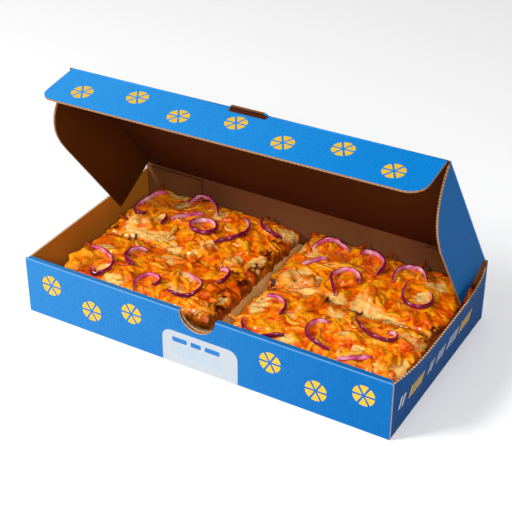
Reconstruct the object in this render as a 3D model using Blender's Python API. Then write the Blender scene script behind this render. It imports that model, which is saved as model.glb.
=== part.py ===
# Takeaway pizza in its corrugated card box: a tray with a roll-over front wall, a raised
# card under the food, four rectangular slices with their toppings, and a lid with two
# ears and a tuck flap.  Metres, +Z up, +X to the right, the front of the box faces -Y,
# origin at the middle of the tray's underside.
import math

import bmesh
import bpy
from mathutils import Vector, noise
from mathutils.bvhtree import BVHTree

MM = 0.001

# Card
BOARD = 0.0016
GAP = 0.0003
CREASE = 0.0008

# Tray, outside sizes
TRAY_WIDTH = 0.320
TRAY_DEPTH = 0.1738
FRONT_HEIGHT = 0.0508
SIDE_HEIGHT = 0.0497
HINGE_HEIGHT = 0.0547
FRONT_WALL = 0.0047
THUMB_X = -0.0007
THUMB_RADIUS = 0.0160
SIDE_BOWS = {"left": 0.0, "right": 0.0060}
CORNER_FLAPS = {"left": (0.058, 0.0526), "right": (0.052, 0.0532)}

# Raised card that carries the slices
RISER_TOP = 0.0200
RISER_HALF_WIDTH = 0.1540
RISER_FRONT = -0.0646
RISER_BACK = 0.0828
RISER_LEG_INSET = 0.0060

# Lid, lengths measured from its hinge, depths down from its middle plane
LID_OPEN = math.radians(53.4)
LID_TWIST = math.radians(1.0)
LID_LENGTH = 0.1650
LID_WIDTH = 0.3154
LID_START = 0.0011
TAB_FROM = -0.0140
TAB_TO = 0.0170
TAB_REACH = 0.0048
TAB_CHAMFER = 0.0020
EAR_REAR = ((0.0040, 0.0011), (0.0130, 1.0))
EARS = {
    "left": {"depth": 0.0503, "front": ((163.6, 1.1), (166, 34), (157, 50), (124, 50))},
    "right": {"depth": 0.0450, "front": ((163.2, 1.1), (159, 18), (147, 41), (105, 43.5))},
}

# Tuck flap, lengths measured from its fold
FLAP_FOLD = math.radians(60.0)
FLAP_START = 0.0014
FLAP_LENGTH = 0.0440
FLAP_WIDTH = 0.3112
FLAP_CORNERS = {"left": 0.010, "right": 0.014}
TAB_CLEARANCE = 0.0004

# Slices: left, right, front and back edge of the bread, and a seed for its unevenness
SLICES = {
    "slice_back_left": (-0.1455, -0.0035, 0.0020, 0.0814, 11),
    "slice_front_left": (-0.1445, -0.0020, -0.0656, -0.0020, 23),
    "slice_back_right": (0.0085, 0.1540, 0.0022, 0.0810, 37),
    "slice_front_right": (0.0135, 0.1540, -0.0656, -0.0020, 41),
}
SLICE_CORNER = 0.009
OUTLINE_STEP = 0.0095
OUTLINE_WOBBLE = 0.0009
BREAD_HEIGHT = 0.0092
BREAD_RINGS = ((0.0, 0.0022), (0.0022, 0.0006), (0.0055, 0.0), (BREAD_HEIGHT, 0.0010))
TOPPING_HEIGHT = 0.0068
TOPPING_RINGS = (0.985, 0.93, 0.82, 0.66, 0.48, 0.30, 0.13)
LUMPS = ((0.022, 0.0018), (0.010, 0.0010))

# Chunks of chicken and cheese: x, y, length, width, height in mm, turn in degrees
CHUNKS = (
    (-122, 20, 24, 13, 7, 20), (-53, 13, 15, 13, 6, 50), (-27, 8, 16, 12, 6, -20),
    (-62, 64, 20, 12, 6, 70), (-132, -52, 26, 19, 7, 80), (-58, -2, 13, 8, 5, -60),
    (-88, -55, 18, 11, 6, 30), (-20, -40, 20, 12, 6, 75), (32, 9, 30, 18, 6, 15),
    (67, 27, 18, 14, 6, 40), (92, 20, 24, 11, 6, -70), (143, -22, 19, 15, 6, 85),
    (56, -14, 30, 12, 6, 65), (100, -40, 20, 11, 6, 10), (137, -50, 24, 10, 6, 100),
)

# Onion slivers: x, y, heading, length, bend at the start, middle and end in degrees per
# mm, width across the layer and height, all lengths in mm
ONIONS = (
    (-129, 69, -177, 55, 7.8, -8.2, 14.8, 2.2, 4.0),
    (-105, 69, 103, 48, -7.4, -3.4, 1.2, 2.6, 4.2),
    (-104, 37, 64, 30, -1.2, -1.0, -0.8, 1.6, 4.0),
    (-111, 41, -51, 16, -3.1, -3.0, -3.0, 2.2, 4.2),
    (-73, 50, 180, 67, 5.38, 5.38, 5.38, 3.0, 4.4),
    (-50, 68, -28, 54, -1.8, -5.1, 0.7, 2.4, 4.4),
    (-34, 72, -93, 32, 6.3, 3.4, -1.6, 2.4, 4.4),
    (-95, -11, -180, 43, 5.8, 4.6, 0.9, 3.4, 4.2),
    (-137, -30, 2, 70, -1.7, 0.7, -12.2, 2.0, 4.2),
    (-72, -65, 131, 45, -3.1, -3.1, -13.5, 2.2, 4.0),
    (-28, -8, 38, 27, -10.0, -6.1, -2.8, 2.4, 4.2),
    (-49, -25, -37, 65, 4.0, -11.6, -0.1, 1.6, 4.0),
    (20, 58, 89, 40, -3.4, -4.2, -2.7, 2.2, 4.0),
    (24, 33, 52, 23, 1.9, -0.5, -3.6, 4.6, 1.8),
    (60, 66, 85, 48, -6.9, -4.5, 0.2, 2.6, 4.4),
    (77, 30, 100, 65, 2.5, 10.5, -4.3, 2.4, 4.2),
    (98, 45, 97, 56, 3.2, -13.3, 1.8, 2.4, 4.2),
    (109, 49, -68, 65, -3.1, 10.5, 2.3, 2.2, 4.2),
    (22, -22, 35, 36, -4.4, -4.5, -2.5, 2.4, 4.2),
    (22, -55, -91, 44, 5.9, 3.4, -1.5, 2.4, 4.0),
    (81, -30, -200, 55, 7.4, 2.6, 0.9, 2.2, 4.2),
    (95, -14, -61, 58, 4.5, -8.1, 21.1, 1.8, 4.0),
    (105, -64, 33, 26, -0.2, -0.2, -0.2, 4.6, 1.8),
)
ONION_STEPS = 9
ONION_SECTION = 6

# Colours
PRINT_BLUE = (0.005, 0.205, 0.610)
KRAFT = (0.270, 0.105, 0.030)
KRAFT_LIGHT = (0.560, 0.300, 0.105)
CRUST = (0.480, 0.150, 0.025)
CHEESE_AND_SAUCE = (0.760, 0.240, 0.020)
CHICKEN = (0.800, 0.330, 0.045)
RED_ONION = (0.360, 0.015, 0.110)


def clear_scene():
    for old in list(bpy.data.objects):
        bpy.data.objects.remove(old, do_unlink=True)


def finish_material(name, colour, roughness):
    material = bpy.data.materials.new(name)
    material.use_nodes = True
    shader = material.node_tree.nodes["Principled BSDF"]
    shader.inputs["Base Color"].default_value = (*colour, 1.0)
    shader.inputs["Roughness"].default_value = roughness
    shader.inputs["Metallic"].default_value = 0.0
    return material


def add_solid(name, bm, colour, roughness=0.8, parent=None):
    bmesh.ops.triangulate(bm, faces=[f for f in bm.faces if len(f.verts) > 4])
    bmesh.ops.recalc_face_normals(bm, faces=bm.faces)
    mesh = bpy.data.meshes.new(name)
    bm.to_mesh(mesh)
    bm.free()
    mesh.materials.append(finish_material(name, colour, roughness))
    solid = bpy.data.objects.new(name, mesh)
    bpy.context.collection.objects.link(solid)
    solid.parent = parent
    return solid


def plate(points, offset):
    """A flat face through the points, pulled out along the offset."""
    bm = bmesh.new()
    face = bm.faces.new([bm.verts.new(p) for p in points])
    grown = bmesh.ops.extrude_face_region(bm, geom=[face])
    moved = [v for v in grown["geom"] if isinstance(v, bmesh.types.BMVert)]
    bmesh.ops.translate(bm, verts=moved, vec=offset)
    return bm


def rounded(corners, segments=4):
    """Corners given as (x, y, radius), with an arc in place of each that has a radius."""
    points = []
    for i, (x, y, radius) in enumerate(corners):
        here = Vector((x, y))
        if radius == 0:
            points.append(here)
            continue
        before = (Vector(corners[i - 1][:2]) - here).normalized()
        after = (Vector(corners[(i + 1) % len(corners)][:2]) - here).normalized()
        half = before.angle(after) / 2
        centre = here + (before + after).normalized() * radius / math.sin(half)
        first = here + before * radius / math.tan(half) - centre
        last = here + after * radius / math.tan(half) - centre
        for step in range(segments + 1):
            points.append(centre + first.slerp(last, step / segments) * radius)
    return points


def bezier(p0, p1, p2, p3, steps):
    """Points along a cubic curve."""
    points = []
    for i in range(steps + 1):
        t = i / steps
        u = 1 - t
        points.append(p0 * u**3 + p1 * 3 * u * u * t + p2 * 3 * u * t * t + p3 * t**3)
    return points


def bow_out(bm, length, height, bow):
    """Pushes a wall out along its top edge, less and less towards its ends and its foot."""
    long_edges = [e for e in bm.edges if e.calc_length() > length / 2]
    bmesh.ops.subdivide_edges(bm, edges=long_edges, cuts=13)
    for v in bm.verts:
        v.co.y -= bow * (1 - (2 * v.co.x / length) ** 4) * (max(v.co.z, 0) / height) ** 1.3


def wall(name, section, length, turn, distance, colour, bow=0.0):
    """A wall whose outer face is `distance` out from the middle, facing `turn` from -Y."""
    bm = plate([(-length / 2, y, z) for y, z in section], (length, 0, 0))
    if bow:
        bow_out(bm, length, max(z for _, z in section), bow)
    solid = add_solid(name, bm, colour)
    solid.rotation_euler.z = turn
    solid.location = (math.sin(turn) * distance, -math.cos(turn) * distance, 0)
    return solid


def cutter(name, bm):
    tool = add_solid(name, bm, KRAFT)
    tool.hide_render = True
    tool.display_type = "WIRE"
    return tool


def cut(solid, tool):
    boolean = solid.modifiers.new(tool.name, "BOOLEAN")
    boolean.operation = "DIFFERENCE"
    boolean.solver = "EXACT"
    boolean.object = tool


def box(low, high):
    corners = [(low[0], low[1]), (high[0], low[1]), (high[0], high[1]), (low[0], high[1])]
    return plate([(x, y, low[2]) for x, y in corners], (0, 0, high[2] - low[2]))


# Tray

def tray_floor():
    half_width = TRAY_WIDTH / 2 - BOARD - GAP
    half_depth = TRAY_DEPTH / 2 - BOARD - GAP
    low = (-half_width, -half_depth, 0)
    high = (half_width, half_depth, BOARD)
    add_solid("tray_floor", box(low, high), KRAFT)


def tray_front():
    """The front wall rolls over on itself: outer layer, top strip and inner layer."""
    inner = FRONT_WALL
    section = rounded([
        (0, 0, CREASE), (0, FRONT_HEIGHT, CREASE / 2), (inner, FRONT_HEIGHT, CREASE / 2),
        (inner, BOARD + GAP, 0), (inner - BOARD, BOARD + GAP, 0),
        (inner - BOARD, FRONT_HEIGHT - BOARD, 0), (BOARD, FRONT_HEIGHT - BOARD, 0), (BOARD, 0, 0),
    ], 2)
    front = wall("tray_front", section, TRAY_WIDTH, 0, TRAY_DEPTH / 2, PRINT_BLUE)
    outer_y = -TRAY_DEPTH / 2
    for side in (-1, 1):
        ends = sorted((side * (TRAY_WIDTH / 2 - BOARD - GAP), side * TRAY_WIDTH))
        low = (ends[0], outer_y + BOARD, BOARD)
        high = (ends[1], outer_y + 2 * FRONT_WALL, FRONT_HEIGHT + BOARD)
        cut(front, cutter(f"front_end_cut_{side}", box(low, high)))
    bm = bmesh.new()
    bmesh.ops.create_cone(bm, cap_ends=True, segments=40, radius1=THUMB_RADIUS,
                          radius2=THUMB_RADIUS, depth=4 * FRONT_WALL)
    thumb = cutter("thumb_cut", bm)
    thumb.rotation_euler.x = math.pi / 2
    thumb.location = (THUMB_X, outer_y + FRONT_WALL / 2, FRONT_HEIGHT + GAP)
    cut(front, thumb)


def tray_sides():
    rise = 6
    inner = [(BOARD, SIDE_HEIGHT * i / rise, 0) for i in range(rise + 1)]
    outer = [(0, SIDE_HEIGHT * i / rise, 0) for i in range(rise, 0, -1)]
    section = rounded([(0, 0, CREASE)] + inner + outer, 2)
    length = TRAY_DEPTH - 2 * (BOARD + GAP)
    for side, turn in (("left", -math.pi / 2), ("right", math.pi / 2)):
        wall(f"tray_side_{side}", section, length, turn, TRAY_WIDTH / 2, PRINT_BLUE, SIDE_BOWS[side])


def tray_back():
    """The back wall ends in the round bead of the lid's crease."""
    bead = BOARD / 2
    top = HINGE_HEIGHT + bead
    section = rounded([
        (0, 0, CREASE), (BOARD, 0, 0), (BOARD, top, bead * 0.999), (0, top, bead * 0.999)], 3)
    wall("tray_back", section, TRAY_WIDTH, math.pi, TRAY_DEPTH / 2, PRINT_BLUE)


def corner_flaps():
    """The side walls' rear flaps, folded in along the back wall."""
    back = TRAY_DEPTH / 2 - BOARD - GAP
    outer = TRAY_WIDTH / 2 - BOARD - GAP
    for side, (reach, top) in CORNER_FLAPS.items():
        sign = -1 if side == "left" else 1
        ends = sorted((sign * outer, sign * (TRAY_WIDTH / 2 - reach)))
        low = (ends[0], back - BOARD, BOARD + GAP)
        high = (ends[1], back, top)
        add_solid(f"tray_flap_back_{side}", box(low, high), KRAFT)


def riser():
    """A raised card under the slices, standing on a front and a back leg."""
    low = (-RISER_HALF_WIDTH, RISER_FRONT, RISER_TOP - BOARD)
    high = (RISER_HALF_WIDTH, RISER_BACK, RISER_TOP)
    add_solid("riser_top", box(low, high), KRAFT_LIGHT, 0.75)
    leg_top = RISER_TOP - BOARD - GAP
    for side, y in (("front", RISER_FRONT + RISER_LEG_INSET), ("back", RISER_BACK - BOARD)):
        low = (-RISER_HALF_WIDTH, y, BOARD + GAP)
        high = (RISER_HALF_WIDTH, y + BOARD, leg_top)
        add_solid(f"riser_leg_{side}", box(low, high), KRAFT_LIGHT)


# Lid and tuck flap

def is_level(edge):
    return abs(edge.verts[0].co.z - edge.verts[1].co.z) < GAP


def bisect(bm, point, normal):
    geom = bm.verts[:] + bm.edges[:] + bm.faces[:]
    bmesh.ops.bisect_plane(bm, geom=geom, plane_co=point, plane_no=normal)


def lid_panel(hinge):
    """The lid's top, a little twisted, with its rounded front crease and its thumb tab."""
    side = LID_WIDTH / 2
    end = LID_LENGTH + BOARD / 2
    tip = LID_LENGTH + TAB_REACH
    outline = [
        (-side, LID_START), (side, LID_START), (side, end), (TAB_TO, end),
        (TAB_TO, tip - TAB_CHAMFER), (TAB_TO - TAB_CHAMFER, tip),
        (TAB_FROM + TAB_CHAMFER, tip), (TAB_FROM, tip - TAB_CHAMFER), (TAB_FROM, end), (-side, end),
    ]
    bm = plate([(x, -s, -BOARD / 2) for x, s in outline], (0, 0, BOARD))
    crease = [e for e in bm.edges if is_level(e) and all(abs(v.co.y + end) < GAP for v in e.verts)]
    bmesh.ops.bevel(bm, geom=crease, offset=BOARD * 0.45, offset_type="OFFSET", segments=3,
                    profile=0.5, affect="EDGES", clamp_overlap=True)
    for column in (-0.75, -0.5, -0.25, 0.25, 0.5, 0.75):
        bisect(bm, (column * side, 0, 0), (1, 0, 0))
    for row in (0.25, 0.5, 0.75):
        bisect(bm, (0, -row * LID_LENGTH, 0), (0, 1, 0))
    for v in bm.verts:
        v.co.z -= v.co.y * v.co.x / side * math.tan(LID_TWIST)
    add_solid("lid_panel", bm, PRINT_BLUE, parent=hinge)


def lid_ears(hinge):
    for side, ear in EARS.items():
        front = bezier(*[Vector((s, d)) * MM for s, d in ear["front"]], 10)
        rear = [(EAR_REAR[1][0], ear["depth"]), EAR_REAR[0]]
        outline = [tuple(p) for p in front] + rear
        outer = LID_WIDTH / 2 if side == "right" else -LID_WIDTH / 2 + BOARD
        bm = plate([(outer, -s, -d) for s, d in outline], (-BOARD, 0, 0))
        solid = add_solid(f"lid_ear_{side}", bm, PRINT_BLUE, parent=hinge)
        solid.rotation_euler.x = -LID_TWIST if side == "right" else LID_TWIST


def tuck_flap(fold):
    half = FLAP_WIDTH / 2
    notch_from = TAB_FROM - TAB_CLEARANCE
    notch_to = TAB_TO + TAB_CLEARANCE
    notch_end = TAB_REACH + TAB_CLEARANCE
    outline = rounded([
        (-half, FLAP_START, 0), (notch_from, FLAP_START, 0),
        (notch_from, notch_end, 0.001), (notch_to, notch_end, 0.001),
        (notch_to, FLAP_START, 0), (half, FLAP_START, 0),
        (half, FLAP_LENGTH, FLAP_CORNERS["right"]), (-half, FLAP_LENGTH, FLAP_CORNERS["left"]),
    ], 6)
    bm = plate([(x, -s, -BOARD / 2) for x, s in outline], (0, 0, BOARD))
    add_solid("tuck_flap", bm, PRINT_BLUE, parent=fold)


def lid():
    hinge = bpy.data.objects.new("lid_hinge", None)
    hinge.location = (0, TRAY_DEPTH / 2 - BOARD / 2, HINGE_HEIGHT)
    hinge.rotation_euler.x = -LID_OPEN
    bpy.context.collection.objects.link(hinge)
    fold = bpy.data.objects.new("flap_fold", None)
    fold.parent = hinge
    fold.location = (0, -LID_LENGTH, 0)
    fold.rotation_euler = (FLAP_FOLD, -LID_LENGTH * LID_TWIST / (LID_WIDTH / 2), 0)
    bpy.context.collection.objects.link(fold)
    lid_panel(hinge)
    lid_ears(hinge)
    tuck_flap(fold)


# Food

def uneven(x, y, seed, size):
    return noise.noise(Vector((x / size, y / size, seed * 1.7)))


def slice_outline(left, right, front, back, seed):
    """Points round a slice with soft corners and a wavy edge, each with its outward way."""
    sides = rounded([(left, front, SLICE_CORNER), (right, front, SLICE_CORNER),
                     (right, back, SLICE_CORNER), (left, back, SLICE_CORNER)], 3)
    points = []
    for here, there in zip(sides, sides[1:] + sides[:1]):
        steps = max(1, round((there - here).length / OUTLINE_STEP))
        points += [here.lerp(there, i / steps) for i in range(steps)]
    outline = []
    for i, here in enumerate(points):
        along = points[(i + 1) % len(points)] - points[i - 1]
        out = Vector((along.y, -along.x)).normalized()
        wave = uneven(here.x, here.y, seed, 0.012) * OUTLINE_WOBBLE
        outline.append((here + out * wave, out))
    return outline


def skin(bm, rings, endless=False):
    """Joins rings of points in turn and closes both ends, or joins the last to the first."""
    loops = [[bm.verts.new(p) for p in ring] for ring in rings]
    if endless:
        loops.append(loops[0])
    for lower, upper in zip(loops, loops[1:]):
        for i in range(len(lower)):
            j = (i + 1) % len(lower)
            bm.faces.new((lower[i], lower[j], upper[j], upper[i]))
    if not endless:
        bm.faces.new(loops[0][::-1])
        bm.faces.new(loops[-1])


def bread(name, outline):
    base = RISER_TOP + GAP
    bm = bmesh.new()
    rings = [[(*(here - out * inset), base + height) for here, out in outline]
             for height, inset in BREAD_RINGS]
    skin(bm, rings)
    add_solid(f"{name}_base", bm, CRUST)


def topping(name, outline, seed):
    """Melted cheese, sauce and shredded chicken: a lumpy layer that thins to its edge."""
    base = RISER_TOP + GAP + BREAD_HEIGHT + GAP
    centre = sum((here for here, _ in outline), Vector((0, 0))) / len(outline)
    rings = [[(*(here - out * 0.0008), base) for here, out in outline]]
    rings.append([(*(here + out * 0.0002), base + 0.0022) for here, out in outline])
    for share in TOPPING_RINGS:
        ring = []
        for here, _ in outline:
            p = centre + (here - centre) * share
            height = TOPPING_HEIGHT * (1 - 0.42 * share**8)
            height += sum(uneven(p.x, p.y, seed + i, size) * depth for i, (size, depth) in enumerate(LUMPS))
            ring.append((p.x, p.y, base + height))
        rings.append(ring)
    bm = bmesh.new()
    skin(bm, rings)
    surface = BVHTree.FromBMesh(bm)
    add_solid(f"{name}_topping", bm, CHEESE_AND_SAUCE, 0.45)
    return surface


def height_under(surfaces, x, y):
    """Height of the highest surface straight below (x, y)."""
    high = Vector((x, y, 2 * HINGE_HEIGHT))
    hits = [s.ray_cast(high, Vector((0, 0, -1)))[0] for s in surfaces]
    return max((h.z for h in hits if h), default=RISER_TOP)


def chunk(number, x, y, length, width, height, turn, surfaces):
    """A torn piece of chicken or cheese lying on the topping."""
    bm = bmesh.new()
    bmesh.ops.create_icosphere(bm, subdivisions=1, radius=0.5)
    angle = math.radians(turn)
    along = Vector((math.cos(angle), math.sin(angle)))
    across = Vector((-along.y, along.x))
    middle = Vector((x, y)) * MM
    for v in bm.verts:
        swell = 1 + 0.35 * noise.noise(v.co * 2.6 + Vector((number * 3.1, 0, 0)))
        p = middle + along * v.co.x * length * MM * swell + across * v.co.y * width * MM * swell
        v.co = (p.x, p.y, max(v.co.z, -0.22) * height * MM * swell)
    lowest = min(v.co.z for v in bm.verts)
    reach = [max(abs((v.co.xy - middle).dot(way)) for v in bm.verts) for way in (along, across)]
    floor = max(height_under(surfaces, *(middle + along * reach[0] * a / 6 + across * reach[1] * b / 6))
                for a in range(-6, 7) for b in range(-6, 7) if a * a + b * b <= 36)
    bmesh.ops.translate(bm, verts=bm.verts, vec=(0, 0, floor + GAP - lowest))
    surface = BVHTree.FromBMesh(bm)
    add_solid(f"chunk_{number:02d}", bm, CHICKEN, 0.5)
    return surface


def sliver_path(x, y, heading, length, bends, steps):
    """Points and headings along a strip whose bend changes smoothly from end to end."""
    fine = 8
    step = length / steps / fine
    here = Vector((x, y)) * MM
    angle = math.radians(heading)
    path = [(here.copy(), angle)]
    for i in range(steps * fine):
        t = (i + 0.5) / (steps * fine)
        bend = (1 - t) ** 2 * bends[0] + 2 * t * (1 - t) * bends[1] + t * t * bends[2]
        middle = angle + math.radians(bend) * step / 2
        here = here + Vector((math.cos(middle), math.sin(middle))) * step * MM
        angle += math.radians(bend) * step
        path.append((here.copy(), angle))
    return path, fine


def onion(number, x, y, heading, length, bend_a, bend_b, bend_c, width, height, surfaces):
    """A sliver of red onion that lies over the bumps below it."""
    path, fine = sliver_path(x, y, heading, length, (bend_a, bend_b, bend_c), ONION_STEPS)
    whole_ring = abs(path[-1][1] - path[0][1]) > 2 * math.pi
    half_width = width * MM / 2
    half_height = height * MM / 2
    ground = []
    for here, angle in path:
        across = Vector((-math.sin(angle), math.cos(angle)))
        feet = [here + across * half_width * share for share in (-1, -0.5, 0, 0.5, 1)]
        ground.append(max(height_under(surfaces, *foot) for foot in feet))
    rings = []
    for i in range(0, len(path), fine):
        here, angle = path[i]
        across = Vector((-math.sin(angle), math.cos(angle)))
        near = ground[max(0, i - fine):i + fine + 1]
        middle = max(near) + GAP + half_height
        end = i in (0, len(path) - 1) and not whole_ring
        ring = []
        for k in range(ONION_SECTION):
            turn = 2 * math.pi * (k + 0.5) / ONION_SECTION
            p = here + across * half_width * math.cos(turn) * (0.7 if end else 1.0)
            rise = half_height * math.sin(turn) * (0.7 if end else 1.0)
            ring.append((p.x, p.y, middle + rise))
        rings.append(ring)
    bm = bmesh.new()
    skin(bm, rings[:-1] if whole_ring else rings, whole_ring)
    add_solid(f"onion_{number:02d}", bm, RED_ONION, 0.35)


def food():
    surfaces = []
    for name, (left, right, front, back, seed) in SLICES.items():
        outline = slice_outline(left, right, front, back, seed)
        bread(name, outline)
        surfaces.append(topping(name, outline, seed))
    surfaces += [chunk(i, *place, surfaces) for i, place in enumerate(CHUNKS, 1)]
    for i, sliver in enumerate(ONIONS, 1):
        onion(i, *sliver, surfaces)


clear_scene()
tray_floor()
tray_front()
tray_sides()
tray_back()
corner_flaps()
riser()
lid()
food()
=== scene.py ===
# Pizza in its takeaway box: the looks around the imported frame.
import math
import random

import bmesh
import bpy
import numpy as np
from mathutils import Matrix, Vector, noise
from mathutils.bvhtree import BVHTree


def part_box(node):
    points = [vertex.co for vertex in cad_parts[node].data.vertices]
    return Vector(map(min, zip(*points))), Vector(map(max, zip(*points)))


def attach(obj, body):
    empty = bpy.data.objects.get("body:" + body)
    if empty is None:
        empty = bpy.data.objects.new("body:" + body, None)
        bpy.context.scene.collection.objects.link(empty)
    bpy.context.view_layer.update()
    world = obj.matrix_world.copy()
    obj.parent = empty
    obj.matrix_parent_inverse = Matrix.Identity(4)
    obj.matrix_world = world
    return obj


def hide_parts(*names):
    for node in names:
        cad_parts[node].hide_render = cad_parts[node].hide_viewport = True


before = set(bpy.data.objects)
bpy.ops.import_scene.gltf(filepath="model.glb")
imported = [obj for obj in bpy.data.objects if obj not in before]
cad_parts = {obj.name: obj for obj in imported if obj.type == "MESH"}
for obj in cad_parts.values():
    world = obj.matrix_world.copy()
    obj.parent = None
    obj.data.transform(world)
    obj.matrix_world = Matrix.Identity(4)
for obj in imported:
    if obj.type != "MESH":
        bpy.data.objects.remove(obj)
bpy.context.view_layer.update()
mm = 0.001
print("frame loaded")


# helpers

def linear(hexColour, alpha=1.0):
    channels = [int(hexColour[i:i + 2], 16) / 255 for i in (1, 3, 5)]
    return tuple(c / 12.92 if c <= 0.04045 else ((c + 0.055) / 1.055) ** 2.4 for c in channels) + (alpha,)


def dimmed(hexColour, share):
    return tuple(c * share for c in linear(hexColour)[:3]) + (1,)


def addNode(tree, kind, settings=None, links=None):
    node = tree.nodes.new("ShaderNode" + kind)
    for key, value in (settings or {}).items():
        if isinstance(key, str) and hasattr(node, key):
            setattr(node, key, value)
        else:
            node.inputs[key].default_value = value
    for key, source in (links or {}).items():
        tree.links.new(source, node.inputs[key])
    return node


def feed(tree, node, pairs):
    # an input takes a number or a colour, or is linked to another node's result
    for index, source in pairs:
        if isinstance(source, bpy.types.NodeSocket):
            tree.links.new(source, node.inputs[index])
        else:
            node.inputs[index].default_value = source


def calc(tree, operation, *terms, clamp=False):
    # one sum; a term is a number or another node's result
    node = addNode(tree, "Math", {"operation": operation, "use_clamp": clamp})
    feed(tree, node, enumerate(terms))
    return node.outputs[0]


def dotted(tree, source, direction):
    node = addNode(tree, "VectorMath", {"operation": "DOT_PRODUCT", 1: direction}, {0: source})
    return node.outputs["Value"]


def ranged(tree, source, low, high, most=1.0):
    # 0 at low, most at high
    settings = {"From Min": low, "From Max": high, "To Max": most}
    return addNode(tree, "MapRange", settings, {0: source}).outputs[0]


def mixed(tree, share, first, second, mode="MIX"):
    node = addNode(tree, "Mix", {"data_type": "RGBA", "blend_type": mode})
    feed(tree, node, ((0, share), (6, first), (7, second)))
    return node.outputs[2]


def speckle(tree, where, scale, detail=2.0, roughness=0.5, distortion=0.0):
    settings = {"Scale": scale, "Detail": detail, "Roughness": roughness, "Distortion": distortion}
    return addNode(tree, "TexNoise", settings, {"Vector": where}).outputs["Fac"]


def vertexValue(tree, key):
    return addNode(tree, "Attribute", {"attribute_name": key}).outputs["Fac"]


def addBump(tree, shader, height, strength, distance):
    bump = addNode(tree, "Bump", {"Strength": strength, "Distance": distance}, {"Height": height})
    tree.links.new(bump.outputs[0], shader.inputs["Normal"])


def colourRamp(tree, share, stops):
    # stops are places and colours, in order
    ramp = addNode(tree, "ValToRGB", None, {0: share})
    elements = ramp.color_ramp.elements
    for element, (position, hexColour) in zip(elements, (stops[0], stops[-1])):
        element.position = position
        element.color = linear(hexColour)
    for position, hexColour in stops[1:-1]:
        elements.new(position).color = linear(hexColour)
    return ramp.outputs[0]


def newMaterial(name, settings):
    material = bpy.data.materials.new(name)
    material.use_nodes = True
    tree = material.node_tree
    tree.nodes.clear()
    shader = addNode(tree, "BsdfPrincipled", settings)
    addNode(tree, "OutputMaterial", None, {"Surface": shader.outputs[0]})
    return material, tree, shader


def addPiece(name, bm, material, body, smooth=True):
    bmesh.ops.recalc_face_normals(bm, faces=bm.faces)
    mesh = bpy.data.meshes.new(name)
    bm.to_mesh(mesh)
    bm.free()
    for polygon in mesh.polygons:
        polygon.use_smooth = smooth
    mesh.materials.append(material)
    piece = bpy.data.objects.new(name, mesh)
    bpy.context.collection.objects.link(piece)
    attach(piece, body)
    return piece


def mergedCopy(nodeName):
    # a CAD node's loose triangles, joined into one surface
    bm = bmesh.new()
    bm.from_mesh(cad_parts[nodeName].data)
    bmesh.ops.remove_doubles(bm, verts=bm.verts, dist=0.00002)
    return bm


def smoothStep(low, high, value):
    t = min(max((value - low) / (high - low), 0), 1)
    return t * t * (3 - 2 * t)


def wave(x, y, size, seed=0.0):
    # smooth noise whose bumps are about that many metres across
    return noise.noise(Vector((x / size, y / size, seed)))


def giveMaterial(nodeName, material):
    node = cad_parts[nodeName]
    node.data.materials.clear()
    node.data.materials.append(material)


# corrugated card: E-flute board with two kraft liners, printed blue on its outer liner

card = {
    "flutePitch": 3.3,  # mm between flutes
    # the pale blue is a painted highlight for the front's folded top edge; the dark brown is painted shade in
    # the flute gaps of cut edges
    "creaseHighlight": "#8fc6f0", "hollowShade": "#5a3418",
    "insert": "#ffd68a", "insertDark": "#f6b862",
    "facing": 0.35,  # least share of a face's normal that counts as facing a side
    # the print's darkening from left to right is a painted fall-off of light
    "inkShadeFrom": -0.16, "inkShadeTo": 0.13,  # m, where the print goes from its left to its right colour
    "frontTop": 0.0499, "outerLiner": -0.0858, "innerLiner": -0.0833,  # m, of the doubled front wall
    "frontFold": (0, -0.0869, 0.0508),  # m
}
# the same kraft, cut edge and print get lighter and darker copies from board to board, as painted light and
# shade
boards = {  # print at the left and right, raw liner, cut edge, and how dark the flutes show there
    "front": ("#3084c8", "#006cb6", "#9a5c2c", "#dcb48a", 0.3),
    "left": ("#2a90dc", "#2a90dc", "#e08a2a", "#dcb48a", 0.5),
    "right": ("#0660a6", "#064c8c", "#c07830", "#dcb48a", 1.0),
    "back": ("#1c86d8", "#1c86d8", "#844e2c", "#8a5e38", 0.3),
    "floor": ("#2a90dc", "#2a90dc", "#9a5c2c", "#b88c60", 0.8),
    "lid": ("#2a94e2", "#1188d8", "#542606", "#6c4020", 0.3),
    "flap": ("#2e94e0", "#0082d4", "#64300a", "#a87c54", 0.3),
    "earLeft": ("#2a90dc", "#2a90dc", "#5c2c04", "#8a6038", 0.3),
    "earRight": ("#0064aa", "#0064aa", "#5c2c04", "#b88c60", 0.7),
    "corner": ("#1c86d8", "#1c86d8", "#84502c", "#5c3418", 0.3),
}
lidTilt = math.radians(53.4)
flapTilt = math.radians(-6.6)
lidOut = (0, math.sin(lidTilt), math.cos(lidTilt))
lidAlong = (0, -math.cos(lidTilt), math.sin(lidTilt))
flapOut = (0, math.sin(flapTilt), math.cos(flapTilt))


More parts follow.
